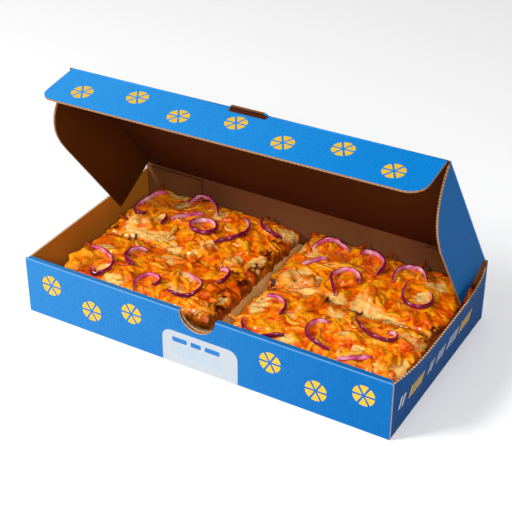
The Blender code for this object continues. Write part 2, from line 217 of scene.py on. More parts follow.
def cardMaterial(name, board, outward, acrossFlutes, edgeFlutes, rollOver=False, creases=()):
    # matt ink on kraft paper: soft sheen, faint washboard lines, raw brown inside
    material, tree, shader = newMaterial(name, {"Roughness": 0.7, "IOR": 1.45, "Specular IOR Level": 0.14})
    litInkLeft, shadedInkRight, kraftAsLit, cutEdgeAsLit, fluteShade = boards[board]
    place = addNode(tree, "TexCoord")
    where = place.outputs["Object"]
    axes = addNode(tree, "SeparateXYZ", None, {0: where})
    turn = 2 * math.pi / (card["flutePitch"] * mm)
    facing = dotted(tree, place.outputs["Normal"], outward)
    printed = calc(tree, "GREATER_THAN", facing, card["facing"])
    inside = calc(tree, "LESS_THAN", facing, -card["facing"])
    outwardPlace = dotted(tree, where, outward)
    for direction, least in creases:
        # a folded edge keeps its print, as far in as the outer liner goes
        folded = dotted(tree, place.outputs["Normal"], direction)
        folded = calc(tree, "GREATER_THAN", folded, card["facing"])
        outer = calc(tree, "GREATER_THAN", outwardPlace, least)
        folded = calc(tree, "MULTIPLY", folded, outer)
        printed = calc(tree, "MAXIMUM", printed, folded)
    if rollOver:
        # this wall rolls over at its top, so print shows outside, on top and inside
        normalAxes = addNode(tree, "SeparateXYZ", None, {0: place.outputs["Normal"]})
        high = calc(tree, "GREATER_THAN", axes.outputs["Z"], card["frontTop"])
        up = calc(tree, "GREATER_THAN", normalAxes.outputs["Z"], card["facing"])
        top = calc(tree, "MULTIPLY", high, up)
        outer = calc(tree, "LESS_THAN", axes.outputs["Y"], card["outerLiner"])
        inner = calc(tree, "GREATER_THAN", axes.outputs["Y"], card["innerLiner"])
        liner = calc(tree, "ADD", outer, inner)
        size = calc(tree, "ABSOLUTE", facing)
        flat = calc(tree, "GREATER_THAN", size, card["facing"])
        shown = calc(tree, "MULTIPLY", flat, liner)
        printed = calc(tree, "MAXIMUM", shown, top)
        blank = calc(tree, "SUBTRACT", 1.0, liner)
        inside = calc(tree, "MULTIPLY", flat, blank)
    phase = dotted(tree, where, [turn * a for a in acrossFlutes])
    washboard = calc(tree, "SINE", phase)
    edgePhase = dotted(tree, where, [turn * a for a in edgeFlutes])
    teeth = calc(tree, "SINE", edgePhase)
    grain = speckle(tree, where, 420.0, 5.0, 0.65)
    cloud = speckle(tree, where, 26.0, 3.0)
    # painted light: the print darkens from left to right across a board as the light falls off, and the right
    # side's darker print is painted shade
    across = ranged(tree, axes.outputs["X"], card["inkShadeFrom"], card["inkShadeTo"])
    inkWithPaintedFalloff = mixed(tree, across, linear(litInkLeft), linear(shadedInkRight))
    worn = calc(tree, "MULTIPLY_ADD", washboard, 0.02, 0.66)
    worn = calc(tree, "MULTIPLY_ADD", grain, 0.46, worn)
    wornColour = addNode(tree, "CombineColor", None, {0: worn, 1: worn, 2: worn}).outputs[0]
    inked = mixed(tree, 1.0, inkWithPaintedFalloff, wornColour, "MULTIPLY")
    if rollOver:
        # a painted highlight: the print goes pale along the front's folded top edge, where light catches the
        # fold
        depthAndHeight = {1: axes.outputs["Y"], 2: axes.outputs["Z"]}
        section = addNode(tree, "CombineXYZ", None, depthAndHeight).outputs[0]
        fromFold = addNode(tree, "VectorMath", {"operation": "DISTANCE", 1: card["frontFold"]}, {0: section})
        creaseHighlightShare = ranged(tree, fromFold.outputs["Value"], 0.0011, 0.0003, 0.4)
        inked = mixed(tree, creaseHighlightShare, inked, linear(card["creaseHighlight"]))
    mottle = calc(tree, "MULTIPLY_ADD", cloud, 0.5, worn)
    mottle = ranged(tree, mottle, 0.82, 1.42)
    # painted light and shade: each board's raw kraft is the same paper, made lighter where that board is lit
    # and darker where it is shaded
    kraft = mixed(tree, mottle, dimmed(kraftAsLit, 0.66), dimmed(kraftAsLit, 0.91))
    # painted shade: the flute gaps at a cut edge are coloured dark brown, darker on some boards than on
    # others
    fluteGapShade = ranged(tree, teeth, -0.2, 0.7, fluteShade)
    edge = mixed(tree, fluteGapShade, linear(cutEdgeAsLit), linear(card["hollowShade"]))
    raw = mixed(tree, inside, edge, kraft)
    colour = mixed(tree, printed, raw, inked)
    tree.links.new(colour, shader.inputs["Base Color"])
    relief = calc(tree, "MULTIPLY_ADD", grain, 0.35, washboard)
    addBump(tree, shader, relief, 0.5, 0.00003)
    return material


def insertMaterial():
    # plain light kraft card under the food: matt, a little creased, with a few oil spots
    material, tree, shader = newMaterial("kraftInsertCard", {"Roughness": 0.7, "IOR": 1.45})
    place = addNode(tree, "TexCoord")
    grain = speckle(tree, place.outputs["Object"], 300.0, 5.0)
    cloud = speckle(tree, place.outputs["Object"], 35.0, 4.0, 0.6)
    blend = calc(tree, "MULTIPLY_ADD", grain, 0.4, cloud)
    share = ranged(tree, blend, 0.45, 0.95)
    colour = mixed(tree, share, linear(card["insertDark"]), linear(card["insert"]))
    tree.links.new(colour, shader.inputs["Base Color"])
    addBump(tree, shader, cloud, 0.5, 0.0006)
    return material


ends = ((1, 0, 0), (-1, 0, 0))
backCreases = [((0, 0, 1), 0.0863)] + [(side, -1) for side in ends]
floorCreases = [(side, -1) for side in ends + ((0, 1, 0), (0, -1, 0))]
lidCreases = [(side, -1) for side in ends] + [([-a for a in lidAlong], 0.1018)]
giveMaterial("tray_front", cardMaterial("printedBoardFront", "front", (0, -1, 0), (1, 0, 0), (1, 0, 0), True))
giveMaterial("tray_side_left", cardMaterial("printedBoardLeft", "left", (-1, 0, 0), (0, 1, 0), (0, 1, 0)))
giveMaterial("tray_side_right", cardMaterial("printedBoardRight", "right", (1, 0, 0), (0, 1, 0), (0, 1, 0)))
giveMaterial("tray_back", cardMaterial("printedBoardBack", "back", (0, 1, 0), (1, 0, 0), (1, 0, 0),
                                       creases=backCreases))
giveMaterial("tray_floor", cardMaterial("printedBoardFloor", "floor", (0, 0, -1), (1, 0, 0), (1, 0, 0),
                                        creases=floorCreases))
giveMaterial("lid_panel", cardMaterial("printedBoardLid", "lid", lidOut, (1, 0, 0), (1, 0, 0),
                                       creases=lidCreases))
giveMaterial("tuck_flap", cardMaterial("printedBoardFlap", "flap", flapOut, (1, 0, 0), (1, 0, 0),
                                     creases=(((0, math.cos(flapTilt), -math.sin(flapTilt)), -1),)))
earAcross = [a * 0.7 for a in lidAlong]
earEdge = (0, lidAlong[1] + lidOut[1], lidAlong[2] + lidOut[2])
giveMaterial("lid_ear_left", cardMaterial("printedBoardEarLeft", "earLeft", (-1, 0, 0), earAcross, earEdge))
giveMaterial("lid_ear_right", cardMaterial("printedBoardEarRight", "earRight", (1, 0, 0), earAcross, earEdge))
cornerBoard = cardMaterial("boardCornerFlap", "corner", (0, 1, 0), (1, 0, 0), (0, 0, 1))
giveMaterial("tray_flap_back_left", cornerBoard)
giveMaterial("tray_flap_back_right", cornerBoard)
insertCard = insertMaterial()
for part in ("riser_top", "riser_leg_front", "riser_leg_back"):
    giveMaterial(part, insertCard)
print("card finished")


# print on the box: plain fields of colour, each a film of ink on the board

ink = {"yellow": "#eabb34", "white": "#bec4ca", "labelBlue": "#2a78c4", "fineBlue": "#a9c4d8", "film": 0.06}


def inkMaterial(name, hexColour):
    # matt printing ink: even colour with a trace of the paper's grain
    material, tree, shader = newMaterial(name, {"Roughness": 0.65, "Specular IOR Level": 0.14})
    place = addNode(tree, "TexCoord")
    grain = speckle(tree, place.outputs["Object"], 500.0, 4.0)
    colour = mixed(tree, grain, dimmed(hexColour, 0.86), linear(hexColour))
    tree.links.new(colour, shader.inputs["Base Color"])
    return material


def inkField(bm, corners, radius, toPlace, segments=4):
    # a flat field with rounded corners, drawn in mm and moved onto the board by toPlace
    face = bm.faces.new([bm.verts.new((x, y, 0)) for x, y in corners])
    raised = bmesh.ops.extrude_face_region(bm, geom=[face])
    topVerts = [v for v in raised["geom"] if isinstance(v, bmesh.types.BMVert)]
    bmesh.ops.translate(bm, verts=topVerts, vec=(0, 0, ink["film"]))
    uprights = [e for v in topVerts for e in v.link_edges if abs(e.verts[0].co.z - e.verts[1].co.z) > 0.01]
    verts = set(face.verts) | set(topVerts)
    if radius:
        rounds = bmesh.ops.bevel(bm, geom=uprights, offset=radius, offset_type="OFFSET", segments=segments,
                                 profile=0.5, affect="EDGES", material=-1, clamp_overlap=True)
        verts = {v for f in rounds["faces"] for v in f.verts} | {v for v in verts if v.is_valid}
        verts = {v for v in verts if v.is_valid}
        grown = set()
        for v in verts:
            for f in v.link_faces:
                grown |= set(f.verts)
        verts |= grown
    for v in verts:
        v.co = toPlace(v.co)


def slab(x, y, width, height, lean=0.0):
    return [(x - width / 2 - lean, y - height / 2), (x + width / 2 - lean, y - height / 2),
            (x + width / 2 + lean, y + height / 2), (x - width / 2 + lean, y + height / 2)]


def onFront(p):
    return Vector((p.x, -86.9 - p.z + 0.01, p.y)) * mm


bow = {"halfLength": 85.0, "height": 49.7, "out": 6, "wall": 160}  # mm


def onRight(p):
    # the wall is bowed out along its top
    share = (1 - (p.x / bow["halfLength"]) ** 4) * (max(p.y, 0) / bow["height"]) ** 1.3
    return Vector((bow["wall"] + bow["out"] * share + p.z - 0.01, p.x, p.y)) * mm


flapHinge = Vector((0, -12.28, 187.16))
flapAlong = Vector((0, -math.cos(flapTilt), math.sin(flapTilt)))
flapLean = 165 * math.radians(1.0) / 157.7
foldAlong = Vector((math.cos(flapLean), math.sin(flapLean) * math.sin(lidTilt),
                    math.sin(flapLean) * math.cos(lidTilt)))


def onFlap(p):
    # x along the fold, y away from it
    out = foldAlong.cross(-flapAlong).normalized()
    return (flapHinge + foldAlong * p.x + flapAlong * p.y + out * (0.8 + p.z - 0.01)) * mm


def wedgeMotif(bm, x, y, radius, toPlace):
    # a disc cut in six, a plain filler pattern
    for k in range(6):
        middle = math.radians(60 * k + 30)
        tip = (x + 1.5 * math.cos(middle), y + 1.5 * math.sin(middle))
        rim = []
        for i in range(7):
            angle = middle + math.radians(-24 + 8 * i)
            rim.append((x + radius * math.cos(angle), y + radius * math.sin(angle)))
        inkField(bm, [tip] + rim, 0, toPlace)


yellowInk = inkMaterial("yellowPrintingInk", ink["yellow"])
whiteInk = inkMaterial("whitePrintingInk", ink["white"])
blueInk = inkMaterial("bluePrintingInk", ink["labelBlue"])
paleBlueInk = inkMaterial("paleBluePrintingInk", ink["fineBlue"])

foldBead = {"radius": 1.22, "sides": 16, "runs": ((-155.4, -14.6), (17.6, 155.4))}  # mm
beads = bmesh.new()
for start, end in foldBead["runs"]:
    rod = bmesh.ops.create_cone(beads, cap_ends=True, segments=foldBead["sides"], radius1=foldBead["radius"],
                                radius2=foldBead["radius"], depth=end - start)["verts"]
    for v in rod:
        along, up, ahead = v.co.z + (start + end) / 2, v.co.x, v.co.y
        v.co = (flapHinge + foldAlong * along + Vector(lidOut) * (up - 0.35) + Vector(lidAlong) * ahead) * mm
addPiece("foldBead", beads, cardMaterial("printedBoardFold", "flap", (0, 0.5, 0.9), (1, 0, 0), (1, 0, 0),
                                         creases=((lidAlong, -1), (lidOut, -1))), "lid")

bars = {"step": 4.6, "middle": 26, "width": 2.6, "tall": 10.5, "lean": 1.4}  # mm


def slantedBars(bm, groups):
    for start, count in groups:
        for i in range(count):
            corners = slab(start + bars["step"] * i, bars["middle"],
                           bars["width"], bars["tall"], bars["lean"])
            inkField(bm, corners, 0, onRight)


trayMotifs = bmesh.new()
for x, y in ((-136, 32), (-98, 21), (-60, 32), (62, 32), (100, 21), (138, 32)):
    wedgeMotif(trayMotifs, x, y, 9, onFront)
slantedBars(trayMotifs, ((-58, 5), (32, 5)))
addPiece("trayMotifs", trayMotifs, yellowInk, "tray", False)
sideBars = bmesh.new()
slantedBars(sideBars, ((-74, 2), (-26, 2), (-11, 3), (9, 2), (19, 2)))
addPiece("sideBars", sideBars, whiteInk, "tray", False)
flapMotifs = bmesh.new()
for x, y in ((-128, 26), (-85, 16), (-43, 26), (0, 17), (43, 26), (85, 16), (128, 26)):
    wedgeMotif(flapMotifs, x, y, 8.5, onFlap)
addPiece("flapMotifs", flapMotifs, yellowInk, "tuck_flap", False)
label = bmesh.new()
labelShape = [(-32, 0.3), (34.5, 0.3)]
for centreX, startAngle in ((34.5 - 8, 0), (-32 + 8, 90)):
    for i in range(7):
        angle = math.radians(startAngle + 15 * i)
        labelShape.append((centreX + 8 * math.cos(angle), 22.3 + 8 * math.sin(angle)))
inkField(label, labelShape, 0, onFront)
addPiece("frontLabel", label, whiteInk, "tray", False)


def onLabel(p):
    return onFront(Vector((p.x, p.y, p.z + ink["film"] - 0.01)))


labelBars = bmesh.new()
for x, width in ((-16.5, 13), (-2, 9), (12.5, 13)):
    inkField(labelBars, slab(x, 22.8, width, 4.2), 0.8, onLabel, 2)
addPiece("labelBars", labelBars, blueInk, "tray", False)
labelLines = bmesh.new()
for x, y, width in ((1, 16.2, 38), (1, 12.9, 48), (0, 9.6, 44)):
    inkField(labelLines, slab(x, y, width, 1.1), 0, onLabel)
addPiece("labelLines", labelLines, paleBlueInk, "tray", False)
print("print finished")


# the melted layer on each slice: sauce, cheese and shredded chicken baked together

cheesePools = (  # x, y, half length, half width in mm, turn in degrees
    (-127, 20, 12, 9, 10), (-118, 9, 17, 7, -8), (-97, 13, 13, 8, 20), (-84, 5, 14, 5, -6),
    (-60, 4, 5, 5, 0), (-55, 17, 9, 8, 60), (-27, 12, 8, 8, 40), (-121, 76, 11, 5, -10),
    (-110, 64, 8, 5, 80), (-70, 64, 7, 6, 0), (-114, 35, 8, 4, 80), (-9, 69, 9, 8, 90),
    (-10, 20, 9, 6, 70), (-126, -24, 9, 4, -10), (-112, -50, 6, 5, 80), (-47, -28, 11, 6, -30),
    (-46, -47, 9, 4, 0), (-9, -42, 9, 6, 80), (-72, -14, 9, 6, 0), (-95, -60, 10, 5, 0),
    (33, 11, 20, 15, -15), (47, 20, 6, 5, 0), (20, 54, 9, 7, 30), (10, 62, 8, 5, 80),
    (68, 6, 9, 7, 0), (89, 9, 9, 13, 20), (101, 4, 10, 8, 0), (127, 38, 8, 8, 0),
    (129, 58, 10, 5, 0), (120, 1, 11, 5, 0), (144, -16, 12, 8, -20), (148, -50, 7, 11, 0),
    (131, -60, 5, 6, 0), (112, -46, 6, 5, 0), (96, -40, 6, 8, 30), (22, -32, 8, 14, 10),
    (50, -32, 5, 5, 0), (80, -14, 11, 4, -20), (60, -60, 8, 5, 0),
)


charred = (  # x, y and reach in mm of the places the oven caught most
    (-6, 12, 12), (-7, 34, 12), (-9, 52, 9), (-4, -12, 11), (-8, -30, 10), (-5, -50, 13), (-4, -64, 10),
    (-30, 6, 8), (16, -5, 11), (14, 6, 7), (60, 2, 9), (150, -4, 10), (152, 8, 8), (90, -1, 8),
    (-142, 79, 9), (-118, 0, 8), (-142, 8, 7), (62, 78, 9), (112, 78, 9), (150, 62, 8), (-20, -2, 8),
)


def charAmount(x, y):
    # 1 where the food is browned hardest
    most = 0.0
    for cx, cy, reach in charred:
        away = math.hypot(x / mm - cx, y / mm - cy)
        most = max(most, 1 - smoothStep(0.35, 1.1, away / reach))
    return most


clearOfEars = 0.1554  # m, food stays inside the lid's side flaps
clearOfBack = 0.0830  # m, and in front of the corner flaps
gapLeft, gapRight = -0.0012, 0.0079  # m, sides of the finger gap between the slices
slotBack = -0.0668  # m, back of the slot that takes the tuck flap
headroom = 0.0450  # m, height from which the box stays free


def insideTray(x, y):
    return min(max(x, -clearOfEars), clearOfEars), min(y, clearOfBack)


def keepOpen(bm):
    # presses food out of the finger gap, the tuck flap's slot and the headroom
    for v in bm.verts:
        if gapLeft < v.co.x < gapRight:
            v.co.x = gapLeft if v.co.x < (gapLeft + gapRight) / 2 else gapRight
        v.co.y = max(v.co.y, slotBack)
        v.co.z = min(v.co.z, headroom)


def poolAmount(x, y):
    # 1 inside a pool of pale cheese, 0 away from it, with a torn edge
    most = 0.0
    px = x / mm + 3.2 * wave(x, y, 0.009, 4.1) + 1.4 * wave(x, y, 0.004, 7.7)
    py = y / mm + 3.2 * wave(x, y, 0.009, 9.3) + 1.4 * wave(x, y, 0.004, 2.2)
    for cx, cy, a, b, turn in cheesePools:
        dx, dy = px - cx, py - cy
        if abs(dx) > 26 or abs(dy) > 26:
            continue
        c, s = math.cos(math.radians(turn)), math.sin(math.radians(turn))
        reach = math.hypot((dx * c + dy * s) / a, (dy * c - dx * s) / b)
        most = max(most, 1 - smoothStep(0.72, 1.12, reach))
    return most


melt = {
    "gridStep": 0.62, "corner": 9.0,
    "red": "#b42c02", "orange": "#ee5c00", "amber": "#ff8000", "bright": "#ffa410",
    "deepSauceAndShade": "#8e2002", "cream": "#ffe498", "creamShade": "#ffbc50", "toasted": "#4e1404",
}
sliceNames = ("back_left", "front_left", "back_right", "front_right")


def foodMaterial(name, coat):
    # wet, oily and slightly see-through: cheese and sauce scatter light and shine
    material, tree, shader = newMaterial(name, {
        "Roughness": 0.36, "IOR": 1.46, "Specular IOR Level": 0.2,
        "Subsurface Weight": 0.1, "Subsurface Scale": 0.0025, "Subsurface Radius": (1.0, 0.4, 0.1),
        "Coat Roughness": 0.07})
    where = addNode(tree, "TexCoord").outputs["Object"]
    pool = vertexValue(tree, "cheese")
    toast = vertexValue(tree, "toast")
    hollowShade = vertexValue(tree, "hollowShade")
    tone = vertexValue(tree, "tone")
    patch = speckle(tree, where, 150.0, 5.0, 0.6, 0.6)
    fine = speckle(tree, where, 520.0, 4.0, 0.7)
    # the tone carries random variation, plus a painted light that makes raised points lighter
    share = calc(tree, "MULTIPLY_ADD", patch, 1.6, -0.85)
    share = calc(tree, "ADD", share, tone)
    share = calc(tree, "MULTIPLY_ADD", fine, 0.5, share, clamp=True)
    stops = ((0.1, "red"), (0.42, "orange"), (0.75, "amber"), (1.0, "bright"))
    sauce = colourRamp(tree, share, [(position, melt[key]) for position, key in stops])
    creamShare = ranged(tree, fine, 0.4, 0.62)
    cream = mixed(tree, creamShare, linear(melt["creamShade"]), linear(melt["cream"]))
    poolShare = calc(tree, "MULTIPLY", pool, 0.94)
    body = mixed(tree, poolShare, sauce, cream)
    # painted shade: hollows are darkened towards a deep sauce red, standing for shade in the crevices
    hollowShadeShare = calc(tree, "MULTIPLY", hollowShade, 0.7)
    hollowShaded = mixed(tree, hollowShadeShare, body, linear(melt["deepSauceAndShade"]))
    toastEdge = calc(tree, "MULTIPLY_ADD", patch, 2.4, -1.2)
    toastShare = calc(tree, "ADD", toast, toastEdge, clamp=True)
    toastShare = calc(tree, "MULTIPLY", toastShare, toast)
    colour = mixed(tree, toastShare, hollowShaded, linear(melt["toasted"]))
    tree.links.new(colour, shader.inputs["Base Color"])
    wet = calc(tree, "MULTIPLY_ADD", toast, -0.9 * coat, coat)
    tree.links.new(wet, shader.inputs["Coat Weight"])
    dry = calc(tree, "MULTIPLY_ADD", pool, -0.16, 0.42)
    dry = calc(tree, "MULTIPLY_ADD", patch, -0.3, dry)
    dry = calc(tree, "ADD", dry, 0.1)
    tree.links.new(dry, shader.inputs["Roughness"])
    smooth = calc(tree, "MULTIPLY_ADD", pool, -0.95, 1.0)
    grain = calc(tree, "MULTIPLY", fine, smooth)
    addBump(tree, shader, grain, 0.7, 0.0006)
    return material


pile = (  # direction in degrees, length and width in mm of one layer of shreds, its height and place
    (28, 24.0, 8.4, 3.0, 1.1), (85, 19.0, 7.4, 2.7, 5.7), (-32, 24.0, 7.2, 2.8, 9.9),
    (-72, 15.0, 6.2, 2.4, 14.3), (12, 11.0, 5.4, 2.0, 19.1), (128, 8.0, 4.2, 1.5, 24.7),
)


def shredPile(x, y, seed=0.0):
    # how high the baked shreds stand at a place, in mm, and the tone of the top one
    x, y = (x + 0.0034 * wave(x, y, 0.009, seed + 2.2) + 0.0013 * wave(x, y, 0.003, seed + 6.1),
            y + 0.0034 * wave(x, y, 0.009, seed + 8.8) + 0.0013 * wave(x, y, 0.003, seed + 3.7))
    best, tone = 0.0, 0.35
    for direction, length, width, height, level in pile:
        c, s = math.cos(math.radians(direction)), math.sin(math.radians(direction))
        u = (x * c + y * s) / (length * mm)
        w = (y * c - x * s) / (width * mm)
        distances, points = noise.voronoi(Vector((u, w, level + seed)))
        reach = distances[0] / 0.62
        if reach >= 1:
            continue
        key = points[0].x * 12.9898 + points[0].y * 78.233 + points[0].z * 37.719
        chance = math.sin(key) * 43758.5453
        chance -= math.floor(chance)
        here = height * (0.6 + 0.6 * chance) * (1 - reach ** 2.2)
        if here > best:
            best, tone = here, chance
    return best, tone


def shareOut(value, low, high):
    return min(max((value - low) / (high - low), 0), 1)


meltedCheese = foodMaterial("meltedCheeseAndSauce", 0.6)
topSurfaces = []


def roundedPlace(u, v, halfWidth, halfDepth, corner):
    # takes a point of a square to its place in a rectangle with round corners
    x, y = u * halfWidth, v * halfDepth
    dx = abs(x) - (halfWidth - corner)
    dy = abs(y) - (halfDepth - corner)
    if dx > 0 and dy > 0:
        pull = max(dx, dy) / math.hypot(dx, dy)
        x = math.copysign(halfWidth - corner + dx * pull, x)
        y = math.copysign(halfDepth - corner + dy * pull, y)
    return x, y


mounds = (  # x, y, reach and rise in mm of the high heaps
    (-136, 74, 15, 4.0), (-92, 76, 14, 1.6), (-30, 74, 16, 2.0), (60, 74, 18, 2.2), (138, 72, 16, 2.6),
    (30, 30, 14, 1.4), (-20, -52, 14, 1.6),
)


def blurred(sheet, reach):
    # the mean over the neighbours within reach steps, along each axis in turn
    window = 2 * reach + 1
    for axis in (0, 1):
        padded = np.pad(sheet, [(reach, reach) if a == axis else (0, 0) for a in (0, 1)], mode="edge")
        size = sheet.shape[axis]
        sheet = sum(np.take(padded, range(i, i + size), axis=axis) for i in range(window)) / window
    return sheet


skirt = ((0.35, 1.0), (0.1, 1.1), (-0.5, 1.1), (-1.2, 0.8))  # mm out and down, loop by loop


def meltedTop(sliceName, seed):
    low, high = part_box(f"slice_{sliceName}_topping")
    solid = mergedCopy(f"slice_{sliceName}_topping")
    under = BVHTree.FromBMesh(solid)
    solid.free()
    centre = Vector(((low[0] + high[0]) / 2, (low[1] + high[1]) / 2))
    half = Vector(((high[0] - low[0]) / 2, (high[1] - low[1]) / 2))
    columns = round(2 * half.x / mm / melt["gridStep"])
    rows = round(2 * half.y / mm / melt["gridStep"])
    bm = bmesh.new()
    bmesh.ops.create_grid(bm, x_segments=columns, y_segments=rows, size=1.0)
    layers = {key: bm.verts.layers.float.new(key) for key in ("cheese", "toast", "hollowShade", "tone")}
    bm.verts.ensure_lookup_table()
    span = sum(1 for v in bm.verts if abs(v.co.y - bm.verts[0].co.y) < 1e-6)
    rises = np.zeros(len(bm.verts))
    tones = np.zeros(len(bm.verts))
    for v in bm.verts:
        u, w = v.co.x, v.co.y
        x, y = roundedPlace(u, w, half.x, half.y, melt["corner"] * mm)
        rim = min(half.x - abs(x), half.y - abs(y)) / mm
        spread = 1 - smoothStep(0, 8, rim)
        ragged = 2.6 * wave(x, y, 0.009, seed) + 1.5 * wave(x, y, 0.0035, seed + 3)
        x, y = x + centre.x, y + centre.y
        out = Vector((u ** 7, w ** 7))
        x += out.x * (ragged + 0.1) * mm * spread
        facesNeighbour = (centre.y > 0) == (w < 0)
        y += out.y * (ragged + (1.4 if facesNeighbour else 0.1)) * mm * spread
        inward = (Vector((x, y)) - centre)
        inward.x *= min(1, (half.x - 0.0012) / max(abs(inward.x), 1e-6))
        inward.y *= min(1, (half.y - 0.0012) / max(abs(inward.y), 1e-6))
        hit = None
        shrink = 1.0
        while hit is None and shrink > 0.9:
            foot = centre + inward * shrink
            hit = under.ray_cast(Vector((foot.x, foot.y, 0.1)), Vector((0, 0, -1)))[0]
            shrink -= 0.008
        ground = hit.z if hit else low[2] + 0.003
        pool = poolAmount(x, y) * (0.62 + 0.5 * shareOut(wave(x, y, 0.0042, seed + 51), -0.3, 0.2))
        piled, tone = shredPile(x, y, seed)
        lumps = wave(x, y, 0.012, seed + 17)
        blister = wave(x, y, 0.0048, seed + 23)
        small = 0.6 - 2 * abs(wave(x, y, 0.003, seed + 29)) + 0.5 * wave(x, y, 0.0015, seed + 35)
        rough = 1 - 0.75 * pool
        rise = (rough * (piled * 1.15 - 1.8) + 1.2 * lumps
                + (0.7 - 0.2 * pool) * blister + (0.6 - 0.45 * pool) * small)
        for mx, my, reach, high in mounds:
            rise += high * (1 - smoothStep(0, 1, math.hypot(x / mm - mx, y / mm - my) / reach))
        edge = 1 - smoothStep(0, 4.5, rim)
        x, y = insideTray(x, y)
        v.co = (x, y, ground + (rise - 0.8 * edge) * mm)
        rises[v.index] = rise
        v[layers["cheese"]] = pool
        tones[v.index] = 0.15 + 0.6 * tone + 0.25 * lumps
        singed = 0.5 * smoothStep(0.12, 0.5, wave(x, y, 0.017, seed + 61))
        spots = 0.85 + 1.1 * wave(x, y, 0.0032, seed + 83)
        rimToast = 0.8 * smoothStep(0.2, 1.0, edge) * smoothStep(-0.3, 0.5, lumps + small)
        v[layers["toast"]] = max(singed, charAmount(x, y) * spots, rimToast)
    sheet = rises.reshape(-1, span)
    # painted shade and light: a point's depth below its neighbours' mean darkens it as a hollow, and a point
    # raised above them gets a lighter tone
    depth = (blurred(sheet, 4) - sheet).ravel()
    sink = 0.85 * (blurred(sheet, 1) - sheet).ravel()
    softTones = blurred(tones.reshape(-1, span), 2).ravel()
    for v in bm.verts:
        v[layers["hollowShade"]] = shareOut(depth[v.index], 0.35, 1.9) * (1 - 0.85 * v[layers["cheese"]])
        v[layers["tone"]] = (0.5 + 1.2 * (softTones[v.index] - 0.5)
                             + 0.25 * shareOut(-depth[v.index], 0.0, 1.5))
        v.co.z += sink[v.index] * mm
    for step, (outward, drop) in enumerate(skirt):
        rim = [e for e in bm.edges if e.is_boundary]
        grown = bmesh.ops.extrude_edge_only(bm, edges=rim)["geom"]
        for v in (g for g in grown if isinstance(g, bmesh.types.BMVert)):
            away = Vector(((v.co.x - centre.x) / half.x, (v.co.y - centre.y) / half.y))
            # at the gap between left and right, and at the front, the topping runs down the bread
            hang = max(smoothStep(0.8, 1.0, away.x if centre.x < 0 else -away.x),
                       smoothStep(0.85, 1.0, -away.y) if centre.y < 0 else 0)
            drip = wave(v.co.x + v.co.y, v.co.y - v.co.x, 0.006, seed + 91)
            push = Vector((away.x ** 9, away.y ** 9))
            push = push.normalized() if push.length > 0 else push
            push *= (outward + 0.2 * hang + 1.1 * wave(v.co.x + v.co.y, v.co.z, 0.003, seed + step)) * mm
            v.co += Vector((push.x, push.y, -drop * (1 + 1.5 * hang * (1 + drip)) * mm))
            v.co.z = max(v.co.z, low[2] + (0.1 - 6.0 * hang) * mm)
            if centre.y < 0:
                # the tuck flap comes down just in front of the slices
                v.co.y = max(v.co.y, low[1] - 0.2 * mm)
            v.co.x, v.co.y = insideTray(v.co.x, v.co.y)
            crisp = 0.3 + 0.9 * wave(v.co.x, v.co.y, 0.007, seed + 71) + 0.6 * charAmount(v.co.x, v.co.y)
            v[layers["toast"]] = min(0.85, max(0, v[layers["toast"]] + crisp))
    keepOpen(bm)
    topSurfaces.append(BVHTree.FromBMesh(bm))
    piece = addPiece(f"meltedTop_{sliceName}", bm, meltedCheese, "tray")
    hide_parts(f"slice_{sliceName}_topping")


for number, sliceName in enumerate(sliceNames):
    meltedTop(sliceName, 13.7 * number + 2)
print("melted layer finished")


# the bread under it, browned and blistered at its cut sides

bread = {"pale": "#f0b878", "golden": "#cc6c1c", "brown": "#a0480e", "burnt": "#240c06"}


def breadMaterial():
    # baked dough: dry, pored, golden with darker blisters
    material, tree, shader = newMaterial("bakedDough", {"Roughness": 0.55, "Subsurface Weight": 0.08,
                                                       "Subsurface Scale": 0.002, "IOR": 1.4})
    where = addNode(tree, "TexCoord").outputs["Object"]
    axes = addNode(tree, "SeparateXYZ", None, {0: where})
    climb = ranged(tree, axes.outputs["Z"], 0.0205, 0.0300)
    patch = speckle(tree, where, 150.0, 5.0, 0.6)
    share = calc(tree, "MULTIPLY_ADD", patch, 1.6, climb)
    share = ranged(tree, share, 0.8, 2.0)
    stops = ((0.0, "pale"), (0.4, "golden"), (0.8, "brown"), (1.0, "burnt"))
    crust = colourRamp(tree, share, [(position, bread[key]) for position, key in stops])
    tree.links.new(crust, shader.inputs["Base Color"])
    fine = speckle(tree, where, 700.0, 3.0)
    addBump(tree, shader, fine, 0.6, 0.0005)
    return material


bakedDough = breadMaterial()
for number, sliceName in enumerate(sliceNames):
    dough = mergedCopy(f"slice_{sliceName}_base")
    sides = [e for e in dough.edges if e.calc_length() < 0.02]
    bmesh.ops.subdivide_edges(dough, edges=sides, cuts=5, use_grid_fill=True, smooth=0.3)
    bmesh.ops.triangulate(dough, faces=dough.faces)
    dough.normal_update()
    for v in dough.verts:
        if v.co.z < 0.0206:
            continue
        p = v.co
        cell = noise.voronoi(p / 0.0042 + Vector((number * 3.3, 0, 0)))[0][0]
        blister = 1.5 * max(0, 0.7 - cell) + 0.5 * noise.noise(p / 0.0016)
        flat = Vector((v.normal.x, v.normal.y, 0))
        v.co += flat * (blister - 0.3) * mm
    piece = addPiece(f"doughBase_{sliceName}", dough, bakedDough, "tray")
    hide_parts(f"slice_{sliceName}_base")
print("bread finished")


# chicken: big torn chunks in the CAD's places, and shreds scattered between them

chicken = {  # how many a slice is given at most; ranges of length, width and height in mm
    "big": (26, (12, 23), (3.6, 5.6), (2.2, 3.2)),
    "small": (24, (6, 11), (2.4, 4.0), (1.8, 2.6)),
}
clearOfOnions = 0.0045  # m


def heightAt(x, y, surfaces):
    hits = [s.ray_cast(Vector((x, y, 0.1)), Vector((0, 0, -1)))[0] for s in surfaces]
    return max((h.z for h in hits if h), default=None)


